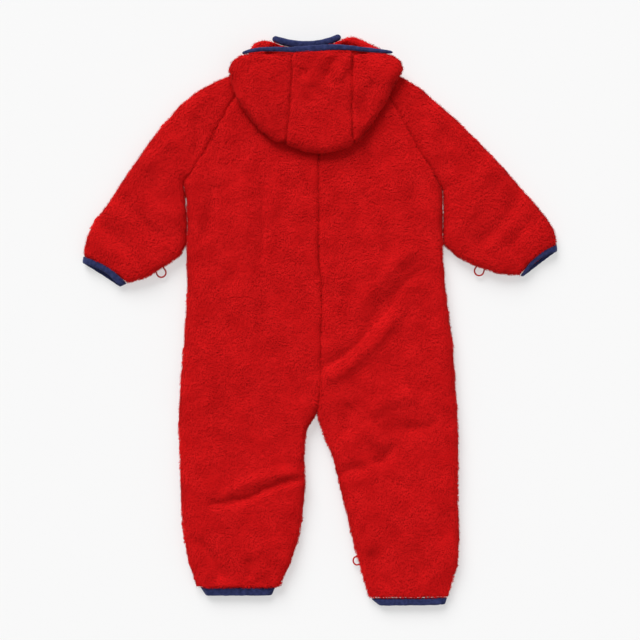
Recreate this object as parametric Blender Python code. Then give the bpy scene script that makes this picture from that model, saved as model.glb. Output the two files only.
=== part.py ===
"""Hooded pile-fleece onesie for a small child, laid out face down on a flat surface.

Millimetres in the tables, metres in Blender. +Z is up, +Y runs from the ankles to the head and +X is the
wearer's right. The origin is under the middle of the garment, on the surface it lies on. Each cloth piece is
one cut panel, lofted through rows of points that run across it: its outer face, and its inner face, where the
garment's layers lie on each other. The walls take in the reach of the pile. Panels stay a small gap apart.
"""

import math
from collections import namedtuple

import bmesh
import bpy
import numpy as np

MM = 0.001

# ---- driving sizes, in millimetres ----
TAPE = 2.2  # wall of the knitted binding
SEAM = 0.5  # gap between two panels at a seam, and between two layers that lie on each other
BLUNT = 2.5  # thickness of a panel where it ends at a side seam
ORIGIN = (0.0, 0.7)  # the tables' point that becomes the origin

BODY_ROUND = 15.0  # how far in from a side seam a panel reaches its full height
CROTCH_ROUND = 15.0  # above the crotch, the middle seam comes down to the side seams over this length
SEAM_EASE = 5.0  # width of the dip where a panel meets a flat seam
SEAM_DIP = 0.8  # depth of that dip
FOLD_INSIDE = 0.15  # share of a fold's run that its inner face reaches
MOST_RUN = 0.44  # most of a row's width that the run of one end may take

ZIP_TOP = (-15.4, 313.0)
ZIP_FOOT = (-2.0, -75.0)
ZIP_HALF_GAP = 4.4  # from the zip's middle to each front's edge
ZIP_TAPE_WIDE = 4.0
ZIP_TAPE_LOW, ZIP_TAPE_HIGH = 5.2, 6.0
ZIP_COIL_WIDE = 2.6
ZIP_COIL_LOW, ZIP_COIL_HIGH = 4.2, 6.3

# ---- tables ----
# y, height of the back's outer face, height of the side seam, room between the front and the back
Height = namedtuple("Height", "y top seam hollow")
BODY_HEIGHTS = [
    Height(305, 13.0, 6.7, 0.5),
    Height(255, 14.5, 6.7, 0.5),
    Height(200, 15.0, 6.8, 0.5),
    Height(160, 17.0, 7.0, 0.5),
    Height(60, 17.5, 7.0, 0.5),
    Height(-75, 17.5, 7.0, 0.5),
    Height(-125, 16.5, 7.0, 0.5),
    Height(-190, 17.0, 7.0, 0.5),
    Height(-265, 16.0, 6.8, 1.0),
    Height(-300, 14.0, 6.2, 4.5),
    Height(-335, 11.5, 5.7, 7.0),
]

# Centre-back seam, from the neck to the crotch.
Point = namedtuple("Point", "y x")
CENTRE_BACK = [
    Point(305, 0.0),
    Point(200, -1.3),
    Point(120, -2.4),
    Point(50, 0.8),
    Point(-12, 2.0),
    Point(-64, 0.8),
    Point(-99, -2.4),
    Point(-113, -3.6),
]
CROTCH_Y = -113.0

# Side seam, from the armpit to the ankle.
SIDE = {
    "left": [
        Point(164, -163.0),
        Point(137, -158.3),
        Point(84, -157.7),
        Point(24, -158.3),
        Point(-24, -161.8),
        Point(-81, -166.6),
        Point(-119, -167.8),
        Point(-167, -166.6),
        Point(-223, -165.4),
        Point(-262, -160.7),
        Point(-300, -153.5),
        Point(-318, -147.6),
    ],
    "right": [
        Point(155, 146.2),
        Point(125, 146.4),
        Point(87, 145.8),
        Point(43, 148.8),
        Point(5, 153.5),
        Point(-33, 158.3),
        Point(-71, 160.7),
        Point(-119, 163.5),
        Point(-157, 165.4),
        Point(-186, 162.6),
        Point(-214, 164.2),
        Point(-252, 165.4),
        Point(-290, 163.0),
        Point(-318, 158.0),
        Point(-330, 153.0),
    ],
}

# Inseam, from the crotch to the ankle.
INSEAM = {
    "left": [
        Point(-113, -4.6),
        Point(-119, -8.3),
        Point(-129, -15.5),
        Point(-148, -17.9),
        Point(-167, -19.0),
        Point(-186, -16.9),
        Point(-223, -20.2),
        Point(-262, -26.2),
        Point(-300, -39.3),
        Point(-318, -48.8),
    ],
    "right": [
        Point(-113, -2.6),
        Point(-119, -1.4),
        Point(-129, 2.4),
        Point(-148, 8.3),
        Point(-167, 16.7),
        Point(-195, 22.6),
        Point(-223, 30.4),
        Point(-262, 39.4),
        Point(-300, 48.8),
        Point(-318, 52.4),
        Point(-330, 58.0),
    ],
}

# The ankle bindings: where each starts and where it ends.
HEM = {
    "left": ((-143.0, -319.0), (-53.0, -319.0), (-136.5, -328.6), (-57.5, -328.4)),
    "right": ((152.0, -331.5), (60.5, -332.5), (149.5, -339.5), (70.5, -340.8)),
}

# Sleeve sections from the cuff to the neck: the fold along the arm's upper edge, and where the back layer
# ends. Up to the armpit that is the underarm seam, where both layers meet, and past it the raglan seam.
# The last column is the room left between the two layers, which is widest at the open cuff.
Section = namedtuple("Section", "fold_x fold_y seam_x seam_y top hollow")
ARMPIT = 6  # the section at the armpit
SLEEVE = {
    "left": [
        Section(-282.6, 76.8, -229.7, 44.0, 12.0, 6.6),
        Section(-278.5, 97.6, -204.7, 53.0, 14.5, 3.4),
        Section(-267.8, 119.0, -183.3, 66.6, 15.5, 1.4),
        Section(-253.5, 138.0, -167.5, 77.4, 15.5, 0.5),
        Section(-238.0, 161.2, -159.3, 92.0, 15.5, 0.5),
        Section(-221.3, 185.6, -159.6, 125.0, 15.5, 0.5),
        Section(-204.7, 209.4, -164.0, 163.5, 15.5, 0.5),
        Section(-188.0, 231.5, -151.1, 178.5, 15.5, 0.5),
        Section(-169.0, 253.5, -136.9, 202.3, 15.0, 0.5),
        Section(-147.6, 270.7, -123.8, 228.5, 14.5, 0.5),
        Section(-126.1, 283.2, -108.3, 254.7, 14.0, 0.5),
        Section(-102.3, 293.9, -91.6, 277.3, 13.5, 0.5),
        Section(-81.0, 303.0, -71.0, 299.0, 13.0, 0.5),
    ],
    "right": [
        Section(282.0, 91.6, 238.0, 53.0, 12.0, 6.6),
        Section(279.0, 107.1, 214.2, 56.0, 14.5, 3.4),
        Section(270.1, 121.4, 183.3, 66.6, 15.5, 1.4),
        Section(257.0, 138.0, 163.0, 76.8, 15.5, 0.5),
        Section(238.0, 158.9, 147.4, 91.0, 15.5, 0.5),
        Section(221.3, 177.3, 148.0, 125.0, 15.5, 0.5),
        Section(202.3, 198.7, 147.6, 154.0, 15.5, 0.5),
        Section(182.1, 219.0, 134.5, 176.1, 15.5, 0.5),
        Section(161.8, 239.2, 119.0, 198.7, 15.0, 0.5),
        Section(140.4, 258.2, 107.1, 222.5, 14.5, 0.5),
        Section(121.4, 274.9, 92.8, 247.5, 14.0, 0.5),
        Section(97.6, 289.2, 78.5, 271.3, 13.5, 0.5),
        Section(73.8, 303.0, 64.3, 299.0, 13.0, 0.5),
    ],
}
SLEEVE_ROUND = 12.0
SLEEVE_SEAM, CUFF_SEAM, ANKLE_SEAM = 6.5, 5.7, 5.4  # heights of the seams along the sleeves and the bands
CUFF_ROUND = 8.5
NECK_SLANT = (-10.0, -11.0)  # from the back raglan's neck end to the front raglan's, outwards and down
MOUTH_BOW = 5.0  # how far the upper lip of a cuff is drawn back from the lower one

# The cuff bindings: fold end and seam end of the mouth.
CUFF_MOUTH = {
    "left": ((-283.5, 68.0), (-238.5, 39.3)),
    "right": ((283.5, 82.5), (242.5, 51.6)),
}

# Hood, laid back over the shoulders: half of a flattened bag on each side of a middle strip.
HoodRow = namedtuple("HoodRow", "y left_fold right_fold top hollow")
HOOD = [
    HoodRow(314.0, -94.0, 86.5, 28.0, 4.0),
    HoodRow(307.0, -104.1, 95.2, 29.5, 3.0),
    HoodRow(297.5, -108.3, 98.5, 31.0, 2.0),
    HoodRow(289.0, -105.9, 94.0, 31.5, 1.0),
    HoodRow(274.0, -101.2, 84.5, 32.0, 0.5),
    HoodRow(262.0, -97.6, 78.5, 32.0, 0.5),
    HoodRow(250.0, -89.3, 71.4, 31.5, 0.5),
    HoodRow(238.0, -80.9, 64.3, 31.0, 0.5),
    HoodRow(226.0, -69.5, 56.4, 30.0, 0.5),
    HoodRow(217.5, -59.0, 49.5, 28.8, 0.5),
    HoodRow(212.5, -50.0, 42.6, 28.2, 0.5),
]
HOOD_SEAM = {"left": ((-32.0, 316.0), (-38.0, 207.0)), "right": ((37.3, 317.0), (38.0, 208.0))}
HOOD_LOW = 16.0  # the hood's lower layer lies this high, on the garment's back
HOOD_FOLD, HOOD_TOP = 22.5, 31.5
HOOD_ROUND = 13.0
NECK_SEAM_Y = 298.5
NECK_HALF = {"left": -74.0, "right": 67.0}
# share of the way across the middle strip, its bottom fold, its upper edge at the binding
Strip = namedtuple("Strip", "at foot_y rim_y")
HOOD_STRIP = [
    Strip(0.0, 207.5, 316.0),
    Strip(0.25, 200.5, 316.6),
    Strip(0.5, 197.5, 317.6),
    Strip(0.75, 200.0, 318.0),
    Strip(1.0, 208.0, 317.0),
]

# The hood's front under the chin: fold at the outer edge, and the inner end along the zip.
Chin = namedtuple("Chin", "fold_x fold_y zip_y")
CHIN = {
    "left": [
        Chin(-83.0, 289.5, 288.6),
        Chin(-86.0, 301.0, 297.5),
        Chin(-86.5, 311.0, 306.5),
        Chin(-84.5, 320.0, 314.0),
        Chin(-79.0, 329.5, 319.0),
        Chin(-69.0, 332.6, 322.4),
    ],
    "right": [
        Chin(76.5, 289.5, 288.6),
        Chin(83.0, 301.0, 297.5),
        Chin(84.0, 312.0, 306.5),
        Chin(76.0, 320.6, 314.0),
        Chin(56.0, 331.0, 319.0),
        Chin(41.0, 337.6, 322.0),
    ],
}
CHIN_TOP = 15.4
CHIN_FOLD = 6.3
CHIN_ROUND = 12.0
CHIN_TURN = 20.0  # how far the rolled edge turns back inwards
CHIN_CLEAR_Y = 303.8  # the neck ends of the sleeves and backs lie below this, and the roll starts past it
REACH = 200.0  # a cutter's reach past every edge of what it cuts

# Route of the binding round the face opening, seen from above: x, y, height of its middle.
Route = namedtuple("Route", "x y z")
RIM = [
    Route(-93.5, 317.8, 25.0),
    Route(-75.0, 319.6, 27.0),
    Route(-45.0, 319.8, 28.0),
    Route(-12.0, 321.0, 28.6),
    Route(15.0, 321.9, 28.6),
    Route(45.0, 320.6, 28.0),
    Route(68.0, 319.2, 27.0),
    Route(86.0, 317.6, 25.0),
]
NECK_EDGE = {
    "left": [
        Route(-56.0, 336.2, 3.4),
        Route(-45.0, 332.4, 3.2),
        Route(-30.0, 329.4, 3.0),
        Route(-16.1, 328.4, 3.0),
    ],
    "right": [
        Route(-15.0, 328.4, 3.0),
        Route(0.0, 330.4, 3.0),
        Route(13.0, 333.8, 3.2),
        Route(26.0, 338.4, 3.4),
    ],
}
RIM_WIDE, RIM_HIGH = 5.6, 4.4
NECK_EDGE_WIDE, NECK_EDGE_HIGH = 8.0, 5.6

# Cord loops sewn into the seams: centre, radius, the direction in degrees in which each stands out, and half
# of the arc that shows.
Loop = namedtuple("Loop", "x y radius out arc z")
LOOPS = {
    "wrist_loop_left": Loop(-189.5, 56.6, 5.6, -62.0, 112.0, 5.5),
    "wrist_loop_right": Loop(190.0, 58.6, 5.6, -114.0, 112.0, 5.5),
    "ankle_loop_right": Loop(45.0, -287.2, 5.4, -168.0, 66.0, 5.5),
}
LOOP_CORD = 1.8

SLIDER_WIDE, SLIDER_LONG, SLIDER_PLATE = 7.6, 9.0, 0.8
SLIDER_PAST = 3.0  # how far it reaches past the coil's upper end
SLIDER_OUTER, SLIDER_INNER = 3.5, 6.8  # heights of the two plates' faces towards the coil
EYE_WIDE, EYE_LONG, EYE_WALL, EYE_LOW, EYE_BRIDGE = 1.6, 4.6, 0.8, 0.3, 0.5
PULL_WIDE, PULL_LONG, PULL_THICK, PULL_BAR = 5.0, 19.0, 1.0, 1.0
PULL_WINDOW_WIDE, PULL_WINDOW_LONG = 2.6, 3.6
PULL_AXIS_Y, PULL_AXIS_Z = 310.5, 1.7

RED, NAVY = (0.56, 0.006, 0.007), (0.022, 0.026, 0.09)
METAL = (0.42, 0.42, 0.43)


# The shape of a layer's end: share of its run, share of its rise.
ROUND_END = [(0.0, 0.0), (0.14, 0.5), (0.45, 0.85), (1.0, 1.0)]
FLAT_END = [(0.0, 0.0), (0.3, 0.0), (0.7, 0.9), (1.0, 1.0)]
FOLD_END = [(1 - math.cos(a), math.sin(a)) for a in (0.0, math.pi / 6, math.pi / 3, math.pi / 2)]

Edge = namedtuple("Edge", "z inner run shape")  # outer and inner heights, and how the layer reaches its level


# ---- shape helpers ----
def smooth(rows, y, field):
    """Value of one column at y, on a smooth curve through rows sorted by falling y."""
    ys = np.array([-row.y for row in rows], float)
    values = np.array([getattr(row, field) for row in rows], float)
    steps = np.diff(ys)
    slopes = np.diff(values) / steps
    tangents = np.concatenate([slopes[:1], (slopes[1:] + slopes[:-1]) / 2, slopes[-1:]])
    flat = np.concatenate([[False], slopes[1:] * slopes[:-1] <= 0, [False]])
    tangents[flat] = 0
    i = int(np.clip(np.searchsorted(ys, -y) - 1, 0, len(steps) - 1))
    h, t = steps[i], np.clip((-y - ys[i]) / steps[i], 0, 1)
    return float(
        (1 + 2 * t) * (1 - t) ** 2 * values[i]
        + t * (1 - t) ** 2 * h * tangents[i]
        + t * t * (3 - 2 * t) * values[i + 1]
        + t * t * (t - 1) * h * tangents[i + 1]
    )


def blended(first, second, share):
    """An end shape part of the way from one to another."""
    return [(a + (c - a) * share, b + (d - b) * share) for (a, b), (c, d) in zip(first, second)]


def layer(start, end, start_edge, level, end_edge, bow=(0.0, 0.0)):
    """Outer and inner points across one layer of cloth, from start to end in plan; bow moves its middle."""
    start, end = np.array(start, float), np.array(end, float)
    width = float(np.linalg.norm(end - start))
    runs = [min(edge.run, MOST_RUN * width) for edge in (start_edge, end_edge)]
    near = [(runs[0] * u, start_edge.z + (level - start_edge.z) * v) for u, v in start_edge.shape]
    far = [(width - runs[1] * u, end_edge.z + (level - end_edge.z) * v) for u, v in end_edge.shape]
    clear = width - runs[0] - runs[1]
    middle = [(runs[0] + clear * t, level) for t in (1 / 3, 2 / 3)]
    outer, inner = [], []
    for along, z in near + middle + far[::-1]:
        inside = along
        if start_edge.shape is FOLD_END:
            inside = max(along, runs[0] - FOLD_INSIDE * (runs[0] - along))
        if end_edge.shape is FOLD_END:
            inside = min(along, width - runs[1] + FOLD_INSIDE * (along - width + runs[1]))
        for points, place in ((outer, along), (inner, inside)):
            share = place / width
            plan = start + (end - start) * share + np.array(bow) * math.sin(math.pi * share)
            height = z if points is outer else start_edge.inner + (end_edge.inner - start_edge.inner) * share
            points.append((plan[0], plan[1], height))
    return outer, inner


def object_from(name, bm, material):
    bmesh.ops.recalc_face_normals(bm, faces=bm.faces)
    mesh = bpy.data.meshes.new(name)
    bm.to_mesh(mesh)
    bm.free()
    mesh.materials.append(material)
    mesh.shade_smooth()
    mesh.set_sharp_from_angle(angle=math.radians(40))
    obj = bpy.data.objects.new(name, mesh)
    bpy.context.scene.collection.objects.link(obj)
    return obj


def metres(point):
    return ((point[0] - ORIGIN[0]) * MM, (point[1] - ORIGIN[1]) * MM, point[2] * MM)


def cloth(name, rows, material, ring=False):
    """A closed panel through rows of (outer points, inner points); a ring's rows are closed too."""
    bm = bmesh.new()
    outer, inner = ([[bm.verts.new(metres(p)) for p in row[side]] for row in rows] for side in (0, 1))
    count, across = len(rows), len(outer[0])
    for face in (outer, inner):
        for i in range(count - 1):
            for j in range(across if ring else across - 1):
                k = (j + 1) % across
                bm.faces.new((face[i][j], face[i + 1][j], face[i + 1][k], face[i][k]))
    for i in (0, count - 1):
        for j in range(across if ring else across - 1):
            k = (j + 1) % across
            bm.faces.new((outer[i][j], outer[i][k], inner[i][k], inner[i][j]))
    if not ring:
        for j in (0, across - 1):
            for i in range(count - 1):
                bm.faces.new((outer[i][j], outer[i + 1][j], inner[i + 1][j], inner[i][j]))
    return object_from(name, bm, material)


def cut_away(obj, corners):
    """Takes a box, given by its low and high corners, out of an object."""
    cutter = boxes(f"{obj.name}_cutter{len(obj.modifiers)}", [corners], obj.data.materials[0])
    cutter.hide_render = True
    cutter.display_type = "WIRE"
    cut = obj.modifiers.new(cutter.name, "BOOLEAN")
    cut.object = cutter


def boxes(name, parts, material):
    """Boxes that share room, joined by an exact union: (low corner, high corner) each."""
    made = []
    for index, (low, high) in enumerate(parts):
        low, high = np.array(low, float), np.array(high, float)
        bm = bmesh.new()
        bmesh.ops.create_cube(bm, size=1.0)
        bmesh.ops.scale(bm, vec=(high - low) * MM, verts=bm.verts)
        bmesh.ops.translate(bm, vec=metres((low + high) / 2), verts=bm.verts)
        made.append(object_from(name if index == 0 else f"{name}_add{index}", bm, material))
    for other in made[1:]:
        join = made[0].modifiers.new(other.name, "BOOLEAN")
        join.operation = "UNION"
        join.object = other
        other.hide_render = True
        other.display_type = "WIRE"
    return made[0]


def material(name, colour, roughness, metallic=0.0):
    made = bpy.data.materials.new(name)
    made.use_nodes = True
    shader = made.node_tree.nodes["Principled BSDF"]
    shader.inputs["Base Color"].default_value = (*colour, 1.0)
    shader.inputs["Roughness"].default_value = roughness
    shader.inputs["Metallic"].default_value = metallic
    return made


# ---- panels ----
def zip_x(y):
    """The front's middle line, which leans a little."""
    share = (ZIP_TOP[1] - y) / (ZIP_TOP[1] - ZIP_FOOT[1])
    return ZIP_TOP[0] + (ZIP_FOOT[0] - ZIP_TOP[0]) * share


def raglan(side, face):
    """The raglan seam's points on the back or on the front, from the armpit to the neck."""
    sections = SLEEVE[side][ARMPIT:]
    outwards = -1 if side == "left" else 1
    points = []
    for i, section in enumerate(sections):
        share = i / (len(sections) - 1) if face == "front" else 0.0
        x = section.seam_x - outwards * NECK_SLANT[0] * share
        points.append((x, section.seam_y + NECK_SLANT[1] * share))
    return points


def middle_x(side, face, y):
    """Where a front or back ends towards the middle: the centre seam or the zip, and the inseam below the crotch."""
    inwards = 1 if side == "left" else -1
    if y <= CROTCH_Y:
        return smooth(INSEAM[side], y, "x")
    if face == "back":
        return smooth(CENTRE_BACK, y, "x") - inwards * SEAM / 2
    if y > ZIP_FOOT[1]:
        return zip_x(y) - inwards * ZIP_HALF_GAP
    share = (ZIP_FOOT[1] - y) / (ZIP_FOOT[1] - CROTCH_Y)
    middle = ZIP_FOOT[0] + (smooth(CENTRE_BACK, CROTCH_Y, "x") - ZIP_FOOT[0]) * share
    return middle - inwards * (ZIP_HALF_GAP * (1 - share) ** 4 + SEAM / 2)


PanelRow = namedtuple("PanelRow", "y outer_x outer_round middle_round")
PANEL_LEVELS = [85, 40, 0, -40, ZIP_FOOT[1], -98, -106, CROTCH_Y, -119, -127, -140, -165, -200, -232, -262, -290]


def panel_rows(side, face):
    """Rows from the neck to the ankle, with how far each end is rounded down to a side seam."""
    inwards = 1 if side == "left" else -1
    rows = [PanelRow(y, x + inwards * SEAM, 0.0, 0.0) for x, y in raglan(side, face)[:0:-1]]
    armpit, ankle = SIDE[side][0].y, SIDE[side][-1].y
    for y in (armpit, armpit - 22, armpit - 44, *PANEL_LEVELS, ankle):
        middle_round = float(np.clip((y - CROTCH_Y - CROTCH_ROUND) / -CROTCH_ROUND, 0, 1))
        rows.append(PanelRow(y, smooth(SIDE[side], y, "x"), 1.0, middle_round))
    return rows


def front_or_back(side, face, material_):
    rows = []
    up = 1 if face == "back" else -1
    for row in panel_rows(side, face):
        middle = smooth(BODY_HEIGHTS, row.y, "seam")
        level = smooth(BODY_HEIGHTS, row.y, "top") if face == "back" else 0.0
        inner = middle + up * smooth(BODY_HEIGHTS, row.y, "hollow") / 2
        dip, blunt = level - up * SEAM_DIP, inner + up * BLUNT
        edges = []
        for roundness in (row.outer_round, row.middle_round):
            run = SEAM_EASE + (BODY_ROUND - SEAM_EASE) * roundness
            shape = blended(FLAT_END, ROUND_END, roundness)
            edges.append(Edge(dip + (blunt - dip) * roundness, inner, run, shape))
        start, end = (row.outer_x, row.y), (middle_x(side, face, row.y), row.y)
        rows.append(layer(start, end, edges[0], level, edges[1]))
    return cloth(f"{face}_{side}", rows, material_)


def fold_over(lower_end, fold, upper_end, low, middle, top, ends, hollow, runs, bow=(0.0, 0.0)):
    """Points round a folded panel: along its lower layer to the fold, and back along its upper layer.

    ends holds the two layers' outer heights where they end, and runs the fold's run and the ends' run.
    """
    shape = FLAT_END if abs(ends[1] - top) < BLUNT else ROUND_END
    inner_low, inner_high = middle - hollow / 2, middle + hollow / 2
    under = layer(
        lower_end,
        fold,
        Edge(ends[0], inner_low, runs[1], shape),
        low,
        Edge(middle, middle, runs[0], FOLD_END),
    )
    over = layer(
        fold,
        upper_end,
        Edge(middle, middle, runs[0], FOLD_END),
        top,
        Edge(ends[1], inner_high, runs[1], shape),
        bow,
    )
    return under[0] + over[0][1:], under[1] + over[1][1:]


def sleeve(side, material_):
    back, front = raglan(side, "back"), raglan(side, "front")
    inwards = 1 if side == "left" else -1
    rows = []
    for i, s in enumerate(SLEEVE[side]):
        upper, lower = (s.seam_x, s.seam_y), (s.seam_x, s.seam_y)
        middle = SLEEVE_SEAM if i else CUFF_SEAM
        ends = (middle - s.hollow / 2 - BLUNT, middle + s.hollow / 2 + BLUNT)
        runs = (SLEEVE_ROUND, SLEEVE_ROUND)
        if i == 0:
            ends = (0.0, s.top)
        if i > ARMPIT:
            upper, lower = back[i - ARMPIT], front[i - ARMPIT]
            ends, runs = (SEAM_DIP, s.top - SEAM_DIP), (SLEEVE_ROUND, SEAM_EASE)
        across = np.array([s.fold_y - s.seam_y, s.seam_x - s.fold_x]) * inwards
        bow = across / np.linalg.norm(across) * (MOUTH_BOW if i == 0 else 0.0)
        fold = (s.fold_x, s.fold_y)
        rows.append(fold_over(lower, fold, upper, 0.0, middle, s.top, ends, s.hollow, runs, bow))
    return cloth(f"sleeve_{side}", rows, material_)


def tube(fold, seam, top, middle, run, bow=(0.0, 0.0)):
    """Outer and inner loops round a flattened tube of knitted tape, with room inside."""
    fold, seam = np.array(fold, float), np.array(seam, float)
    inwards = (fold - seam) / np.linalg.norm(fold - seam) * TAPE
    loops = []
    for start, end, low, high in ((seam, fold, 0.0, top), (seam + inwards, fold - inwards, TAPE, top - TAPE)):
        turn = Edge(middle, middle, run, FOLD_END)
        under = layer(start, end, turn, low, turn)[0]
        over = layer(end, start, turn, high, turn, bow)[0]
        loops.append(under + over[1:-1])
    return tuple(loops)


def cuff(side, material_):
    s = SLEEVE[side][0]
    inwards = 1 if side == "left" else -1
    across = np.array([s.fold_y - s.seam_y, s.seam_x - s.fold_x]) * inwards
    out = -across / np.linalg.norm(across)
    fold, seam = np.array([s.fold_x, s.fold_y]), np.array([s.seam_x, s.seam_y])
    starts = fold + out * SEAM, seam + out * SEAM
    ends = [np.array(end) for end in CUFF_MOUTH[side]]
    rows = []
    for share in (0.0, 0.5, 1.0):
        at = [start + (end - start) * share for start, end in zip(starts, ends)]
        rows.append(tube(*at, 12.0 - 0.7 * share, CUFF_SEAM, CUFF_ROUND, -out * MOUTH_BOW))
    return cloth(f"cuff_{side}", rows, material_, ring=True)


def ankle_band(side, material_):
    outer, inner, outer_end, inner_end = (np.array(p) for p in HEM[side])
    rows = []
    for share in (0.0, 0.5, 1.0):
        at = [outer + (outer_end - outer) * share, inner + (inner_end - inner) * share]
        rows.append(tube(*at, 11.2 - 0.6 * share, ANKLE_SEAM, CUFF_ROUND))
    return cloth(f"ankle_band_{side}", rows, material_, ring=True)


def hood_side(side, material_):
    (top_x, top_y), (foot_x, foot_y) = HOOD_SEAM[side]
    inwards = 1 if side == "left" else -1
    rows = []
    for row in HOOD:
        fold = (getattr(row, f"{side}_fold"), row.y - 1.0)
        seam_x = top_x + (foot_x - top_x) * (top_y - row.y) / (top_y - foot_y) - inwards * SEAM / 2
        lower_x = NECK_HALF[side] if row.y > NECK_SEAM_Y else seam_x
        ends = (HOOD_LOW + SEAM_DIP, row.top - SEAM_DIP)
        lower, upper = (lower_x, row.y), (seam_x, row.y)
        runs = (HOOD_ROUND, SEAM_EASE)
        rows.append(fold_over(lower, fold, upper, HOOD_LOW, HOOD_FOLD, row.top, ends, row.hollow, runs))
    return cloth(f"hood_side_{side}", rows, material_)


def hood_middle(material_):
    (left_x, _), (left_foot_x, _) = HOOD_SEAM["left"]
    (right_x, _), (right_foot_x, _) = HOOD_SEAM["right"]
    rows = []
    for strip in HOOD_STRIP:
        x = left_x + SEAM / 2 + (right_x - left_x - SEAM) * strip.at
        foot_x = left_foot_x + SEAM / 2 + (right_foot_x - left_foot_x - SEAM) * strip.at
        lower, fold, upper = (x, NECK_SEAM_Y), (foot_x, strip.foot_y), (x, strip.rim_y)
        ends = (HOOD_LOW + SEAM_DIP, HOOD_TOP - SEAM_DIP)
        runs = (HOOD_ROUND, SEAM_EASE)
        rows.append(fold_over(lower, fold, upper, HOOD_LOW, HOOD_FOLD, HOOD_TOP, ends, SEAM, runs))
    return cloth("hood_middle", rows, material_)


def hood_front(side, material_):
    """The part under the chin: a lower layer from the zip outwards, and past the neck its rolled edge above."""
    inwards = 1 if side == "left" else -1
    rows = []
    for row in CHIN[side]:
        end = np.array([zip_x(row.zip_y) - inwards * ZIP_HALF_GAP, row.zip_y])
        fold = np.array([row.fold_x, row.fold_y])
        turned = fold + (end - fold) / np.linalg.norm(end - fold) * CHIN_TURN
        ends = (SEAM_DIP, CHIN_TOP - SEAM_DIP)
        runs = (CHIN_ROUND, SEAM_EASE)
        rows.append(fold_over(end, fold, turned, 0.0, CHIN_FOLD, CHIN_TOP, ends, SEAM, runs))
    made = cloth(f"hood_front_{side}", rows, material_)
    for low_z, edge_x in ((CHIN_FOLD - SEAM / 2, 0.0), (-REACH, SLEEVE[side][-1].fold_x + inwards * SEAM)):
        low_x, high_x = sorted((edge_x, -inwards * REACH))
        cut_away(made, ((low_x, CHIN_CLEAR_Y - REACH, low_z), (high_x, CHIN_CLEAR_Y, REACH)))


# ---- trims ----
def bar(name, sections, material_):
    """A closed solid through sections, each a loop of points."""
    bm = bmesh.new()
    loops = [[bm.verts.new(metres(point)) for point in section] for section in sections]
    for first, second in zip(loops, loops[1:]):
        for j in range(len(first)):
            k = (j + 1) % len(first)
            bm.faces.new((first[j], first[k], second[k], second[j]))
    bm.faces.new(loops[0])
    bm.faces.new(loops[-1])
    return object_from(name, bm, material_)


def binding(name, route, wide, high, material_):
    """A flat tape with rounded edges along a route."""
    points = np.array([(p.x, p.y, p.z) for p in route])
    along = np.gradient(points, axis=0)
    sideways = np.stack([-along[:, 1], along[:, 0], np.zeros(len(points))], axis=1)
    sideways /= np.linalg.norm(sideways, axis=1)[:, None]
    outline = []
    for a in np.radians(np.arange(0, 360, 36)):
        across, up = (math.copysign(abs(v) ** 0.6, v) for v in (math.cos(a), math.sin(a)))
        outline.append((wide / 2 * across, high / 2 * up))
    sections = []
    for point, side in zip(points, sideways):
        sections.append([point + side * u + np.array([0, 0, v]) for u, v in outline])
    return bar(name, sections, material_)


def cord_loop(name, loop, material_):
    """A round cord bent into an open ring, whose two ends stop just short of the seam."""
    curve = bpy.data.curves.new(name, "CURVE")
    curve.dimensions = "3D"
    curve.bevel_depth = LOOP_CORD / 2 * MM
    curve.bevel_resolution = 2
    curve.use_fill_caps = True
    angles = np.radians(loop.out + np.linspace(-loop.arc, loop.arc, 19))
    spline = curve.splines.new("POLY")
    spline.points.add(len(angles) - 1)
    for point, a in zip(spline.points, angles):
        place = (loop.x + loop.radius * math.cos(a), loop.y + loop.radius * math.sin(a), loop.z)
        point.co = (*metres(place), 1.0)
    obj = bpy.data.objects.new(name, curve)
    obj.data.materials.append(material_)
    bpy.context.scene.collection.objects.link(obj)
    return obj


def zip_half(side, material_):
    """Tape with its half of the coil along the inner edge, from the neck to the foot of the zip."""
    inwards = 1 if side == "left" else -1
    outline = [
        (SEAM / 2, ZIP_COIL_LOW),
        (SEAM / 2, ZIP_COIL_HIGH),
        (ZIP_COIL_WIDE, ZIP_COIL_HIGH),
        (ZIP_COIL_WIDE, ZIP_TAPE_HIGH),
        (ZIP_TAPE_WIDE, ZIP_TAPE_HIGH),
        (ZIP_TAPE_WIDE, ZIP_TAPE_LOW),
        (ZIP_COIL_WIDE, ZIP_TAPE_LOW),
        (ZIP_COIL_WIDE, ZIP_COIL_LOW),
    ]
    sections = [
        [(zip_x(y) - inwards * u, y, z) for u, z in outline] for y in (ZIP_TOP[1], ZIP_FOOT[1])
    ]
    return bar(f"zip_{side}", sections, material_)


def slider(material_):
    """Two plates round the coil, joined past its upper end, with an eye for the pull under the outer plate."""
    x, y = zip_x(ZIP_TOP[1]), ZIP_TOP[1]
    wide, eye = SLIDER_WIDE / 2, EYE_WIDE / 2
    low, high = y - SLIDER_LONG + SLIDER_PAST, y + SLIDER_PAST
    outer, inner = SLIDER_OUTER - SLIDER_PLATE, SLIDER_INNER + SLIDER_PLATE
    eye_low, eye_high = PULL_AXIS_Y - EYE_LONG / 2, PULL_AXIS_Y + EYE_LONG / 2
    return boxes(
        "zip_slider",
        [
            ((x - wide, low, outer), (x + wide, high, SLIDER_OUTER)),
            ((x - wide, low, SLIDER_INNER), (x + wide, high, inner)),
            ((x - 1.5, y + SEAM, SLIDER_OUTER - 0.2), (x + 1.5, high - 0.2, SLIDER_INNER + 0.2)),
            ((x - eye, eye_low, EYE_LOW), (x + eye, eye_low + EYE_WALL, outer + 0.2)),
            ((x - eye, eye_high - EYE_WALL, EYE_LOW), (x + eye, eye_high, outer + 0.2)),
            ((x - eye, eye_low + 0.1, EYE_LOW - 0.1), (x + eye, eye_high - 0.1, EYE_LOW + EYE_BRIDGE)),
        ],
        material_,
    )


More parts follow.
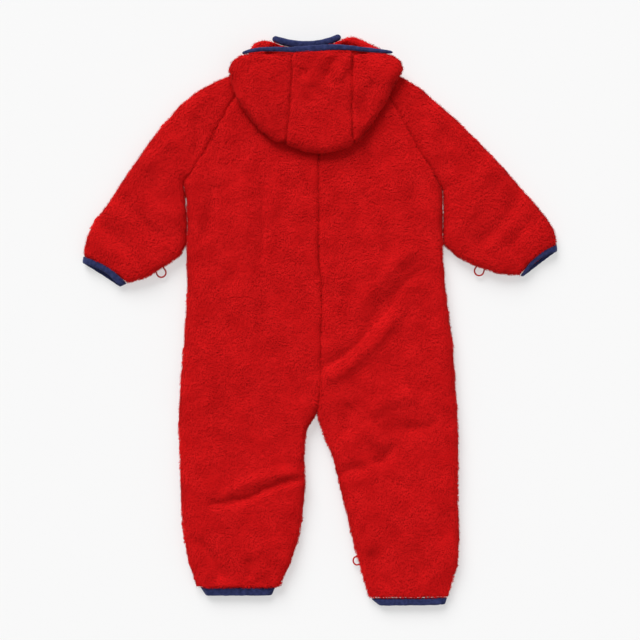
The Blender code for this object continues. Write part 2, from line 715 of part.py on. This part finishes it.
def pull(material_):
    """A flat tab whose bar goes through the slider's eye."""
    x, y, z = zip_x(ZIP_TOP[1]), PULL_AXIS_Y, PULL_AXIS_Z
    wide, window, half = PULL_WIDE / 2, PULL_WINDOW_WIDE / 2, PULL_THICK / 2
    far = y - PULL_WINDOW_LONG
    return boxes(
        "zip_pull",
        [
            ((x - wide, y - PULL_BAR / 2, z - half), (x + wide, y + PULL_BAR / 2, z + half)),
            ((x - wide + 0.1, far - 0.2, z - half + 0.05), (x - window, y, z + half - 0.05)),
            ((x + window, far - 0.2, z - half + 0.05), (x + wide - 0.1, y, z + half - 0.05)),
            ((x - wide, y - PULL_LONG, z - half), (x + wide, far, z + half)),
        ],
        material_,
    )


def build():
    for obj in list(bpy.data.objects):
        bpy.data.objects.remove(obj)
    fleece = material("pile_fleece", RED, 0.95)
    tape = material("knitted_binding", NAVY, 0.9)
    cord = material("loop_cord", RED, 0.8)
    zip_tape = material("zip_tape", NAVY, 0.8)
    metal = material("zip_metal", METAL, 0.35, 1.0)
    for side in ("left", "right"):
        front_or_back(side, "back", fleece)
        front_or_back(side, "front", fleece)
        sleeve(side, fleece)
        cuff(side, tape)
        ankle_band(side, tape)
        hood_side(side, fleece)
        hood_front(side, fleece)
        binding(f"hood_binding_neck_{side}", NECK_EDGE[side], NECK_EDGE_WIDE, NECK_EDGE_HIGH, tape)
        zip_half(side, zip_tape)
    hood_middle(fleece)
    binding("hood_binding_rim", RIM, RIM_WIDE, RIM_HIGH, tape)
    slider(metal)
    pull(metal)
    for name, loop in LOOPS.items():
        cord_loop(name, loop, cord)


build()
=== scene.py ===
"""Looks of the fleece onesie pajama, laid on its front: cloth shells, deep pile, bindings, cords and zip."""

import math

import bpy
import numpy as np
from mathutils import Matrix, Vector, noise


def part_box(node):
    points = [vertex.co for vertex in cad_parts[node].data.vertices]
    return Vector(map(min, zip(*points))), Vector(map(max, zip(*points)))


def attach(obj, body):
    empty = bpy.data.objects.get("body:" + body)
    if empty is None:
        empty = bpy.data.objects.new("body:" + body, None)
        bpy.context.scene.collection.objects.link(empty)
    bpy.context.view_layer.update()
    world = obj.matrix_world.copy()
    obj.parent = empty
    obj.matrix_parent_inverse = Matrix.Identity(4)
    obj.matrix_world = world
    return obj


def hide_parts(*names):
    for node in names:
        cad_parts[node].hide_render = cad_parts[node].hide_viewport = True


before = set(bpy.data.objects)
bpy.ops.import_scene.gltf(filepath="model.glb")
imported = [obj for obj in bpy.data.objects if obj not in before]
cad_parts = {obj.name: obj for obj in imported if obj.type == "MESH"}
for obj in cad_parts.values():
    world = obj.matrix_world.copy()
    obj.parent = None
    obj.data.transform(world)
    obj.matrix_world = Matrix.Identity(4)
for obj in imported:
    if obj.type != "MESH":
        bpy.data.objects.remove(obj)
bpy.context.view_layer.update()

MM = 0.001
GARMENT = "garment"
ORIGIN_Y = 0.7  # the drafting table's y of the row frame's origin, in mm
rng = np.random.default_rng(41)

# Camera, straight above the garment
CAMERA_HEIGHT = 2.0
VIEW_WIDTH = 0.7616
SENSOR = 36.0
LAID_HEIGHT = 0.012

# Light and floor: each sun's name, the way it shines, its strength and its spread in degrees
SUNS = (("key", (0.30, -0.76, -0.58), 3.3, 40), ("fill", (-0.5, 0.2, -0.84), 0.3, 60))
ROOM_LIGHT = 0.42
FLOOR_HALF = 3.0
FLOOR_TONE = 0.42
FLOOR_GLOW = 0.47

# Cloth
VOXEL = 2.5 * MM
BINDING_VOXEL = 1.15 * MM
TOP_PILE = 1.0  # blades to each square millimetre where the cloth faces up
LOW_PILE = 0.25
HIDDEN_PANEL_PILE = 0.4
UNSEEN_SLOPE = 0.4  # a face that tilts further than this towards the other layer has no pile
FLOOR_PILE_BELOW = 0.8 * MM
FLOOR_PILE_SHARE = 0.15
PLUMP = 0.55  # how far the pile fills the shell out past the ground, in mm
FOLD_SCALE = 1.5
FOLD_RUNOUT = 0.18  # how far a fold runs on past each end, as a share of its length
FACING_GAIN = 1.6
FLAT_BELOW = 1.2 * MM  # the underside keeps flat up to this height, and moves freely a little higher
FLAT_RISE = 3 * MM
FLOOR_GAP = 0.05 * MM
BLADE = 3.4 * MM
BLADE_WIDTH = 0.95 * MM
PILE_UV_SPAN = 0.72
NAP_SMOOTHNESS = 0.8  # how far a blade is lit as the cloth under it
LEAST_FLAT = 0.0101  # the narrowest cut that a sheet can state, in metres

# Unevenness of a surface: feature size in mm, seed of the noise and height in mm
CRUMPLE = ((42, 1, 1.5), (19, 2, 0.6))
CLUMPS = ((6, 3, 0.14),)
CUFF_PUCKERS = ((6, 5, 0.35), (2.2, 6, 0.16))
BAND_PUCKERS = ((6, 5, 0.3), (2.5, 6, 0.12))

FLEECE_TOP = ("back_left", "back_right", "sleeve_left", "sleeve_right",
              "hood_middle", "hood_side_left", "hood_side_right")
FLEECE_LOW = ("front_left", "front_right", "hood_front_left", "hood_front_right")
BINDINGS = ("cuff_left", "cuff_right", "ankle_band_left", "ankle_band_right")

# Knitted bands
BAND_STEP = 1.3  # between rows of points, in mm
BAND_SMOOTHING = 14
BAND_SIDES = 20
BAND_BLUNT = 0.35  # an end's size as a share of the band's
BAND_TAPER = 2.2  # how many rows a band takes to reach its full size
ACROSS_ROUNDING = 0.72
UPRIGHT_ROUNDING = 0.8

# Bindings of the hood: x, y, z, width and height at given places along each, in mm
RIM_ROUTE = (
    (-92.0, 315.4, 24.5, 3.6, 4.2),
    (-82.0, 318.2, 26.0, 4.4, 4.6),
    (-71.4, 319.6, 27.0, 4.9, 4.6),
    (-53.6, 319.8, 28.0, 5.2, 4.6),
    (-35.7, 319.2, 28.4, 6.2, 4.6),
    (-16.7, 319.6, 28.8, 8.0, 4.6),
    (0.0, 320.7, 29.0, 8.0, 4.6),
    (19.0, 322.1, 29.0, 6.8, 4.6),
    (35.7, 321.1, 28.6, 5.8, 4.6),
    (50.0, 319.6, 28.0, 5.4, 4.6),
    (69.0, 318.0, 26.8, 5.0, 4.6),
    (86.0, 316.4, 25.0, 3.6, 4.2),
)
NECK_ROUTE = (
    (-56.6, 336.6, 4.6, 7.6, 6.4),
    (-47.0, 333.0, 4.6, 8.6, 6.6),
    (-36.0, 330.4, 4.6, 8.8, 6.6),
    (-26.0, 329.0, 4.6, 8.9, 6.6),
    (-16.0, 328.6, 4.6, 8.9, 6.6),
    (-6.0, 329.2, 4.6, 8.8, 6.6),
    (4.0, 330.8, 4.6, 8.6, 6.6),
    (14.0, 333.8, 4.6, 8.2, 6.6),
    (24.6, 338.8, 4.6, 7.4, 6.4),
)

# Main folds, placed on the drafting table, in mm:
# from (x, y) to (x, y), half-width, height (a trough is below zero), sideways bow
BACK_FOLDS = (
    (-127, 166, -137, 95, 9, -2.6, 4),
    (-90, 126, -76, 24, 10, 1.8, -5),
    (-69, 160, -70, 72, 7, -1.6, 3),
    (-46, 190, -60, 120, 9, 1.2, 4),
    (4, -73, 96, 15, 9, 2.6, -8),
    (2, -58, 90, 27, 6, -2.2, -8),
    (42, 6, 114, 86, 9, 1.9, 6),
    (52, -12, 120, 58, 6, -1.5, 6),
    (32, -100, 30, -136, 8, -2.4, 3),
    (86, -145, 66, -170, 8, -2.0, 4),
    (24, -183, 58, -176, 7, -1.8, 3),
    (60, -110, 110, -90, 9, 1.8, 5),
    (95, -128, 138, -120, 8, -1.5, -4),
    (52, -128, 84, -150, 8, 1.7, -3),
    (-24, -189, -84, -211, 5, -2.8, -3),
    (-84, -211, -130, -218, 5, -2.4, 2),
    (-30, -181, -110, -203, 7, 1.9, -4),
    (-148, -261, -120, -306, 6, -2.0, 4),
    (-88, -285, -84, -306, 5, -1.6, 2),
    (64, -275, 82, -318, 7, -1.9, -4),
    (112, -270, 120, -312, 7, -1.3, 3),
    (-140, -20, -128, -110, 11, 1.4, 4),
    (-60, -30, -30, -100, 10, -1.1, 5),
    (110, 170, 132, 90, 9, -1.7, -4),
    (60, 130, 70, 60, 10, 1.2, 4),
)
SLEEVE_FOLDS = (
    (-147, 242, -150, 191, 7, -2.0, 3),
    (-205, 196, -168, 118, 11, 1.8, 5),
    (-236, 150, -186, 98, 8, -1.7, -5),
    (-262, 116, -226, 76, 8, -1.5, 4),
    (-176, 214, -214, 168, 9, 1.3, -4),
    (147, 232, 158, 176, 8, -1.8, -3),
    (205, 184, 172, 112, 11, 1.7, -5),
    (236, 148, 190, 92, 8, -1.6, 5),
    (258, 120, 226, 84, 8, -1.5, -4),
    (182, 206, 222, 160, 9, 1.3, 4),
)
HOOD_FOLDS = (
    (35, 311, 11, 279, 6, 2.6, 3),
    (13, 308, 14, 278, 6, -3.2, -2),
    (-19, 298, -21, 286, 6, -1.9, 1),
    (-9, 276, -8, 256, 8, -1.6, 0),
    (4, 296, 2, 262, 8, -1.7, 2),
    (-70, 290, -52, 240, 9, 1.4, 4),
    (64, 280, 50, 236, 9, -1.6, -4),
    (-84, 300, -60, 302, 6, -1.2, 2),
)
UNDER_FOLDS = (
    (-60, 150, -110, 60, 9, 1.6, 4),
    (50, 90, 120, 10, 9, 1.6, -5),
    (-30, -150, -110, -190, 7, -1.5, 4),
    (40, -160, 120, -200, 8, -1.6, -4),
)

# Cord loops in the seams: centre, radius, the way out and half the arc in degrees, height, tucked length
LOOPS = {
    "wrist_loop_left": (-189.5, 56.6, 5.6, -62, 112, 5.5, 7.0),
    "wrist_loop_right": (190.0, 58.6, 5.6, -114, 112, 5.5, 7.0),
    "ankle_loop_right": (45.0, -287.2, 5.4, -168, 66, 5.5, 11.0),
}
LOOP_CORD = 1.8
LOOP_STEPS = 16
TUCK_STEPS = 4

PILE_SHEEN_TINT = (1, 0.2, 0.16)


def place(x, y, z=0.0):
    """A point of the drafting table, in mm, as a place in the row frame."""
    return Vector((x * MM, (y - ORIGIN_Y) * MM, z * MM))


# ---------------------------------------------------------------- camera, light and floor

def camera():
    """Looks straight down on the garment, as framed in its picture."""
    data = bpy.data.cameras.new("camera")
    data.sensor_width = SENSOR
    data.lens = SENSOR * CAMERA_HEIGHT / VIEW_WIDTH
    data.clip_end = 20
    obj = bpy.data.objects.new("camera", data)
    obj.location = place(0, 0) + Vector((0, 0, CAMERA_HEIGHT + LAID_HEIGHT))
    bpy.context.scene.collection.objects.link(obj)
    bpy.context.scene.camera = obj


def lights():
    """A soft key from the upper left, a faint fill and an even room."""
    world = bpy.data.worlds.new("studio")
    world.use_nodes = True
    world.node_tree.nodes["Background"].inputs["Color"].default_value = (1.0, 1.0, 1.0, 1)
    world.node_tree.nodes["Background"].inputs["Strength"].default_value = ROOM_LIGHT
    bpy.context.scene.world = world
    for name, aim, strength, spread in SUNS:
        data = bpy.data.lights.new(name, "SUN")
        data.energy = strength
        data.angle = math.radians(spread)
        obj = bpy.data.objects.new(name, data)
        obj.rotation_euler = Vector(aim).to_track_quat("-Z", "Y").to_euler()
        bpy.context.scene.collection.objects.link(obj)
    bpy.context.scene.view_settings.view_transform = "Standard"


def floor():
    """A plain pale floor, which glows a little so that it stays pale under soft light."""
    half = FLOOR_HALF
    mesh = bpy.data.meshes.new("floor")
    corners = [(-half, -half, 0), (half, -half, 0), (half, half, 0), (-half, half, 0)]
    mesh.from_pydata(corners, [], [(0, 1, 2, 3)])
    obj = new_object("floor", mesh)
    paper = plain("floor_paper", (FLOOR_TONE, FLOOR_TONE, FLOOR_TONE), 0.9)
    shader = paper.node_tree.nodes["Principled BSDF"]
    shader.inputs["Emission Color"].default_value = (1, 1, 1, 1)
    shader.inputs["Emission Strength"].default_value = FLOOR_GLOW
    mesh.materials.append(paper)


# ---------------------------------------------------------------- materials

def plain(name, colour, rough):
    """A material of one colour and roughness, which others build on."""
    mat = bpy.data.materials.new(name)
    mat.use_nodes = True
    shader = mat.node_tree.nodes["Principled BSDF"]
    shader.inputs["Base Color"].default_value = (*colour, 1)
    shader.inputs["Roughness"].default_value = rough
    return mat


def mottled(name, dark, light, scale, rough, bump=0.0, bump_scale=0.0, detail=4.0):
    """A material whose colour wanders between two tones, with an optional fine relief."""
    mat = plain(name, light, rough)
    nodes, links = mat.node_tree.nodes, mat.node_tree.links
    shader = nodes["Principled BSDF"]
    where = nodes.new("ShaderNodeTexCoord")
    tone = nodes.new("ShaderNodeTexNoise")
    tone.inputs["Scale"].default_value = scale
    tone.inputs["Detail"].default_value = detail
    ramp = nodes.new("ShaderNodeValToRGB")
    ramp.color_ramp.elements[0].position = 0.34
    ramp.color_ramp.elements[1].position = 0.66
    ramp.color_ramp.elements[0].color = (*dark, 1)
    ramp.color_ramp.elements[1].color = (*light, 1)
    links.new(where.outputs["Object"], tone.inputs["Vector"])
    links.new(tone.outputs["Fac"], ramp.inputs["Fac"])
    links.new(ramp.outputs["Color"], shader.inputs["Base Color"])
    if bump:
        relief = nodes.new("ShaderNodeTexNoise")
        relief.inputs["Scale"].default_value = bump_scale
        relief.inputs["Detail"].default_value = 3
        raised = nodes.new("ShaderNodeBump")
        raised.inputs["Strength"].default_value = bump
        raised.inputs["Distance"].default_value = 0.6 * MM
        links.new(where.outputs["Object"], relief.inputs["Vector"])
        links.new(relief.outputs["Fac"], raised.inputs["Height"])
        links.new(raised.outputs["Normal"], shader.inputs["Normal"])
    return mat


def soft(mat, sheen, tint):
    """Adds the sheen of fine fibres to a material."""
    shader = mat.node_tree.nodes["Principled BSDF"]
    shader.inputs["Sheen Weight"].default_value = sheen
    shader.inputs["Sheen Roughness"].default_value = 0.45
    shader.inputs["Sheen Tint"].default_value = (*tint, 1)
    shader.inputs["Specular IOR Level"].default_value = 0.12
    return mat


def fleece_ground():
    """The knitted ground, between and under the blades of pile."""
    ground = mottled("fleece_ground", (0.46, 0.003, 0.004), (0.60, 0.005, 0.006), 60, 0.95, 0.3, 900)
    return soft(ground, 0.1, PILE_SHEEN_TINT)


def fleece_pile():
    """The blades of pile, a little brighter than their ground."""
    hair = mottled("fleece_pile", (0.60, 0.004, 0.005), (0.70, 0.007, 0.008), 45, 0.9)
    return soft(hair, 0.12, PILE_SHEEN_TINT)


def cord_yarn():
    """The twisted red yarn of the small loops."""
    yarn = mottled("red_cord", (0.36, 0.006, 0.008), (0.55, 0.012, 0.012), 900, 0.8, 0.6, 1800)
    return soft(yarn, 0.2, (1, 0.4, 0.3))


def knit_binding():
    """A navy rib knit: fine wales across the band, over a slightly uneven dye."""
    mat = mottled("navy_rib", (0.012, 0.017, 0.066), (0.030, 0.038, 0.125), 260, 0.85)
    soft(mat, 0.25, (0.6, 0.65, 1))
    nodes, links = mat.node_tree.nodes, mat.node_tree.links
    relief = nodes.new("ShaderNodeTexWave")
    relief.wave_type = "BANDS"
    relief.bands_direction = "DIAGONAL"
    relief.inputs["Scale"].default_value = 420
    relief.inputs["Distortion"].default_value = 1.2
    raised = nodes.new("ShaderNodeBump")
    raised.inputs["Strength"].default_value = 0.6
    raised.inputs["Distance"].default_value = 0.3 * MM
    where = nodes.new("ShaderNodeTexCoord")
    links.new(where.outputs["Object"], relief.inputs["Vector"])
    links.new(relief.outputs["Fac"], raised.inputs["Height"])
    links.new(raised.outputs["Normal"], nodes["Principled BSDF"].inputs["Normal"])
    return mat


# ---------------------------------------------------------------- cloth

def new_object(name, mesh):
    """An object of the scene made from a mesh or a curve."""
    obj = bpy.data.objects.new(name, mesh)
    bpy.context.scene.collection.objects.link(obj)
    return obj


def applied(obj):
    """Turns the object's modifiers into its mesh."""
    graph = bpy.context.evaluated_depsgraph_get()
    mesh = bpy.data.meshes.new_from_object(obj.evaluated_get(graph))
    obj.modifiers.clear()
    obj.data = mesh
    return obj


def shell(node, voxel, smoothing):
    """A fine closed skin on the form of a CAD node."""
    obj = new_object(node + "_cloth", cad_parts[node].data.copy())
    obj.data.materials.clear()
    weld = obj.modifiers.new("weld", "WELD")
    weld.merge_threshold = 0.01 * MM
    remesh = obj.modifiers.new("remesh", "REMESH")
    remesh.mode = "VOXEL"
    remesh.voxel_size = voxel
    smooth = obj.modifiers.new("smooth", "SMOOTH")
    smooth.factor = 0.5
    smooth.iterations = smoothing
    applied(obj)
    obj.data.shade_smooth()
    return obj


def points_and_normals(mesh):
    """A mesh's points and their normals, as two tables of x, y and z."""
    points = np.empty(len(mesh.vertices) * 3)
    mesh.vertices.foreach_get("co", points)
    normals = np.empty(len(mesh.vertices) * 3)
    mesh.vertices.foreach_get("normal", normals)
    return points.reshape(-1, 3), normals.reshape(-1, 3)


def fold_height(table, points):
    """How far the folds of a table raise or lower each point, in metres."""
    x, y = points[:, 0] / MM, points[:, 1] / MM + ORIGIN_Y
    total = np.zeros(len(points))
    for x0, y0, x1, y1, half, height, bow in table:
        length = math.hypot(x1 - x0, y1 - y0)
        along_x, along_y = (x1 - x0) / length, (y1 - y0) / length
        along = ((x - x0) * along_x + (y - y0) * along_y) / length
        aside = (x - x0) * -along_y + (y - y0) * along_x
        aside = aside - bow * 4 * along * (1 - along)
        end = np.clip(np.minimum(along + FOLD_RUNOUT, 1 + FOLD_RUNOUT - along) / (2 * FOLD_RUNOUT), 0, 1)
        total += height * np.exp(-(aside / half) ** 2) * end * end * (3 - 2 * end)
    return total * MM * FOLD_SCALE


def wander(points, size, seed):
    """Smooth noise from -1 to 1 at each point, with features of about this size."""
    shift = Vector((seed * 7.3, seed * 3.1, seed * 5.7))
    return np.array([noise.noise(Vector(p) / size + shift) for p in points])


def uneven(points, table):
    """The summed noise of a table of unevenness at each point, in mm."""
    return sum(wander(points, size * MM, seed) * height for size, seed, height in table)


def unit(vectors, least=1e-9):
    """The vectors at length 1."""
    return vectors / np.maximum(np.linalg.norm(vectors, axis=1), least)[:, None]


def crease(obj, top, under):
    """Puts the folds and the pile's clumps into a shell. The underside stays flat where it rests."""
    points, normals = points_and_normals(obj.data)
    up = np.clip(normals[:, 2] * FACING_GAIN, 0, 1)
    down = np.clip(-normals[:, 2] * FACING_GAIN, 0, 1)
    lift = fold_height(top, points) * up
    resting = np.clip((points[:, 2] - FLAT_BELOW) / FLAT_RISE, 0, 1)
    lift -= fold_height(under, points) * down * resting
    points[:, 2] += lift
    crumple = uneven(points, CRUMPLE)
    clumps = uneven(points, CLUMPS) + PLUMP
    points += normals * ((crumple * (up + 0.25) + clumps) * MM * np.maximum(up, resting))[:, None]
    points[:, 2] = np.maximum(points[:, 2], FLOOR_GAP)
    obj.data.vertices.foreach_set("co", points.ravel())
    obj.data.update()


def scattered(mesh, node, top_density, low_density):
    """Roots of pile at random over a shell, and the cloth's normal at each."""
    mesh.calc_loop_triangles()
    corners = np.empty(len(mesh.loop_triangles) * 3, np.int32)
    mesh.loop_triangles.foreach_get("vertices", corners)
    corners = corners.reshape(-1, 3)
    points, normals = points_and_normals(mesh)
    a, b, c = (points[corners[:, k]] for k in range(3))
    cross = np.cross(b - a, c - a)
    area = np.linalg.norm(cross, axis=1) / 2
    slope = cross[:, 2] / np.maximum(2 * area, 1e-12)
    height = (a[:, 2] + b[:, 2] + c[:, 2]) / 3
    facing = np.clip((slope + 0.35) / 0.7, 0, 1)
    grown = np.where(height < FLOOR_PILE_BELOW, FLOOR_PILE_SHARE, 1)
    if node.startswith("back"):
        grown = grown * (slope > -UNSEEN_SLOPE)
    if node.startswith("front"):
        grown = grown * (slope < UNSEEN_SLOPE)
    expected = area / MM ** 2 * (low_density + (top_density - low_density) * facing) * grown
    count = int(expected.sum())
    pick = rng.choice(len(corners), count, p=expected / expected.sum())
    u, v = rng.random(count), rng.random(count)
    turn = u + v > 1
    u[turn], v[turn] = 1 - u[turn], 1 - v[turn]
    root = a[pick] + (b - a)[pick] * u[:, None] + (c - a)[pick] * v[:, None]
    n = normals[corners[pick, 0]] * (1 - u - v)[:, None] + normals[corners[pick, 1]] * u[:, None]
    n += normals[corners[pick, 2]] * v[:, None]
    return root, unit(n)


def lie_of_the_nap(root, n):
    """The way each blade leans: downwards, swirling over a few centimetres, no two blades quite alike."""
    coarse = root[:, :2] / (17 * MM)
    fine = root[:, :2] / (5 * MM)
    swirl = np.sin(coarse[:, 0] * 1.3 + 1.7 * np.sin(coarse[:, 1]))
    swirl += np.sin(coarse[:, 1] * 1.1 + coarse[:, 0])
    swirl += 0.6 * np.sin(fine[:, 0] + 2 * np.sin(fine[:, 1] * 0.9)) + rng.normal(0, 0.45, len(root))
    nap = np.stack([np.sin(swirl), -np.cos(swirl), np.zeros(len(root))], 1)
    nap -= n * (nap * n).sum(1)[:, None]
    return unit(nap, 1e-6)


def pile(obj, node, mat, top_density, low_density):
    """Short bent blades of pile over a shell, in one mesh, each of two triangles: root to knee to tip."""
    root, n = scattered(obj.data, node, top_density, low_density)
    nap = lie_of_the_nap(root, n)
    count = len(root)
    side = np.cross(n, nap)
    length = BLADE * rng.uniform(0.6, 1.25, count)[:, None]
    width = BLADE_WIDTH * rng.uniform(0.6, 1.2, count)[:, None]
    lean = rng.uniform(0.5, 0.95, count)[:, None]
    knee = root + (nap * np.cos(lean) + n * np.sin(lean)) * length * 0.45
    tip = knee + (nap * np.cos(lean * 0.35) + n * np.sin(lean * 0.35)) * length * 0.55
    verts = np.stack([root, knee - side * width / 2, knee + side * width / 2, tip], 1).reshape(-1, 3)
    verts[:, 2] = np.maximum(verts[:, 2], 0.02 * MM)
    base = np.arange(count)[:, None] * 4
    faces = np.concatenate([base + [0, 1, 2], base + [2, 1, 3]], 1).reshape(-1, 3)
    made = bpy.data.meshes.new(node + "_pile")
    made.vertices.add(len(verts))
    made.vertices.foreach_set("co", verts.ravel())
    made.loops.add(faces.size)
    made.loops.foreach_set("vertex_index", faces.ravel().astype(np.int32))
    made.polygons.add(len(faces))
    made.polygons.foreach_set("loop_start", np.arange(0, faces.size, 3, dtype=np.int32))
    made.update(calc_edges=True)
    uv = made.uv_layers.new(name="OFBake")
    uv.uv.foreach_set("vector", (verts[faces.ravel(), :2] / PILE_UV_SPAN + 0.5).ravel())
    made.materials.append(mat)
    made.shade_smooth()
    blade_normal = unit(np.cross(side, tip - root))
    blade_normal *= np.where((blade_normal * n).sum(1) < 0, -1, 1)[:, None]
    shown = unit(n * NAP_SMOOTHNESS + blade_normal * (1 - NAP_SMOOTHNESS))
    made.normals_split_custom_set_from_vertices(np.repeat(shown, 4, axis=0))
    return new_object(node + "_pile", made)


def half_surface(mesh):
    """Half of a closed skin's area: that of one of its two faces."""
    area = np.empty(len(mesh.polygons))
    mesh.polygons.foreach_get("area", area)
    return float(area.sum()) / 2


def declare(obj, node):
    """Works out the size a panel was cut to: its box on the table, grown to hold the area of its own shell;
    the result is not used.
    """
    low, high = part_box(node)
    cut = half_surface(obj.data)
    width, length = high.x - low.x, high.y - low.y
    grow = max(1.0, math.sqrt(cut / (width * length)) * 1.005)
    width, length = width * grow, length * grow


def fleece(node, ground, hair, top):
    """One fleece panel: its creased shell and the pile on it."""
    obj = shell(node, VOXEL, 3)
    obj.data.materials.append(ground)
    crease(obj, top, UNDER_FOLDS)
    dense = TOP_PILE if node in FLEECE_TOP else HIDDEN_PANEL_PILE
    blades = pile(obj, node, hair, dense, LOW_PILE)
    for piece in (obj, blades):
        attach(piece, GARMENT)
    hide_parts(node)
    declare(obj, node)


def binding(node, mat):
    """A knitted cuff or ankle band, slightly puckered."""
    obj = shell(node, BINDING_VOXEL, 2)
    obj.data.materials.append(mat)
    points, normals = points_and_normals(obj.data)
    points += normals * (uneven(points, CUFF_PUCKERS) * MM)[:, None]
    points[:, 2] = np.maximum(points[:, 2], FLOOR_GAP)
    obj.data.vertices.foreach_set("co", points.ravel())
    obj.data.update()
    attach(obj, GARMENT)
    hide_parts(node)
    declare(obj, node)


def band(name, nodes, route, mat):
    """A knitted binding folded over an edge: a flattened tube along a smooth route."""
    route = np.array(route, float)
    reach = np.concatenate([[0], np.cumsum(np.linalg.norm(np.diff(route[:, :2], axis=0), axis=1))])
    steps = int(reach[-1] / BAND_STEP)
    at = np.linspace(0, reach[-1], steps + 1)
    rows = np.stack([np.interp(at, reach, route[:, k]) for k in range(5)], 1)
    for _ in range(BAND_SMOOTHING):
        rows[1:-1] = (rows[:-2] + 2 * rows[1:-1] + rows[2:]) / 4
    verts, faces = [], []
    for k, (x, y, z, width, height) in enumerate(rows):
        before, after = rows[max(k - 1, 0)], rows[min(k + 1, steps)]
        run = Vector((after[0] - before[0], after[1] - before[1], 0)).normalized()
        across = Vector((-run.y, run.x, 0))
        shut = min(1.0, BAND_BLUNT + (1 - BAND_BLUNT) * math.sqrt(min(k, steps - k) / BAND_TAPER))
        for j in range(BAND_SIDES):
            turn = 2 * math.pi * j / BAND_SIDES
            c, s = math.cos(turn), math.sin(turn)
            wide = math.copysign(abs(c) ** ACROSS_ROUNDING, c) * width / 2 * shut
            tall = math.copysign(abs(s) ** UPRIGHT_ROUNDING, s) * height / 2 * shut
            verts.append(place(x + across.x * wide, y + across.y * wide, z + tall))
    for k in range(steps):
        for j in range(BAND_SIDES):
            a, b = k * BAND_SIDES + j, k * BAND_SIDES + (j + 1) % BAND_SIDES
            faces.append((a, b, b + BAND_SIDES, a + BAND_SIDES))
    faces.append(tuple(range(BAND_SIDES)))
    faces.append(tuple(steps * BAND_SIDES + j for j in reversed(range(BAND_SIDES))))
    mesh = bpy.data.meshes.new(name)
    mesh.from_pydata(verts, [], faces)
    mesh.materials.append(mat)
    obj = new_object(name, mesh)
    points, normals = points_and_normals(mesh)
    points -= normals * (uneven(points, BAND_PUCKERS) * MM)[:, None]
    mesh.vertices.foreach_set("co", points.ravel())
    mesh.update()
    mesh.shade_smooth()
    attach(obj, GARMENT)
    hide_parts(*nodes)
    length = reach[-1] * MM
    wide = max(half_surface(mesh) / length, LEAST_FLAT)
    min(half_surface(mesh), wide * length)


def cord_loop(node, mat):
    """A thin cord doubled into a seam, with both its ends tucked in between the layers."""
    x, y, radius, way_out, half_arc, z, tucked = LOOPS[node]
    out = math.radians(way_out)
    route = []
    for k in range(LOOP_STEPS + 1):
        turn = out + math.radians(half_arc) * (2 * k / LOOP_STEPS - 1)
        route.append(place(x + radius * math.cos(turn), y + radius * math.sin(turn), z))
    inward = Vector((-math.cos(out), -math.sin(out), 0))
    first = [route[0] + inward * tucked * MM * k / TUCK_STEPS for k in range(TUCK_STEPS, 0, -1)]
    last = [route[-1] + inward * tucked * MM * k / TUCK_STEPS for k in range(1, TUCK_STEPS + 1)]
    route = first + route + last
    curve = bpy.data.curves.new(node + "_cord", "CURVE")
    curve.dimensions = "3D"
    curve.bevel_depth = LOOP_CORD / 2 * MM
    curve.bevel_resolution = 4
    curve.use_fill_caps = True
    line = curve.splines.new("POLY")
    line.points.add(len(route) - 1)
    for point, at in zip(line.points, route):
        point.co = (*at, 1)
    line.use_smooth = True
    curve.materials.append(mat)
    obj = new_object(node + "_cord", curve)
    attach(obj, GARMENT)
    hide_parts(node)


def dress_zip():
    """Finishes the zip's own solids: woven tape, and worn metal for the slider and its pull."""
    tape = mottled("zip_tape", (0.30, 0.004, 0.006), (0.42, 0.006, 0.008), 700, 0.8, 0.5, 2500)
    metal = mottled("zip_metal", (0.42, 0.42, 0.43), (0.60, 0.60, 0.61), 300, 0.34, 0.1, 1500)
    metal.node_tree.nodes["Principled BSDF"].inputs["Metallic"].default_value = 1.0
    for node, mat in (("zip_left", tape), ("zip_right", tape), ("zip_slider", metal), ("zip_pull", metal)):
        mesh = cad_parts[node].data
        mesh.materials.clear()
        mesh.materials.append(mat)


def build():
    """Camera and cords first, then light and floor, then the cloth and the zip."""
    camera()
    cord = cord_yarn()
    for node in LOOPS:
        cord_loop(node, cord)
    lights()
    floor()
    ground, hair = fleece_ground(), fleece_pile()
    folds = {"sleeve": SLEEVE_FOLDS, "hood": HOOD_FOLDS, "back": BACK_FOLDS, "front": BACK_FOLDS}
    for node in FLEECE_TOP + FLEECE_LOW:
        fleece(node, ground, hair, folds[node.split("_")[0]])
    navy = knit_binding()
    band("hood_rim_band", ["hood_binding_rim"], RIM_ROUTE, navy)
    neck = ["hood_binding_neck_left", "hood_binding_neck_right"]
    band("neck_band", neck, NECK_ROUTE, navy)
    for node in BINDINGS:
        binding(node, navy)
    dress_zip()


build()
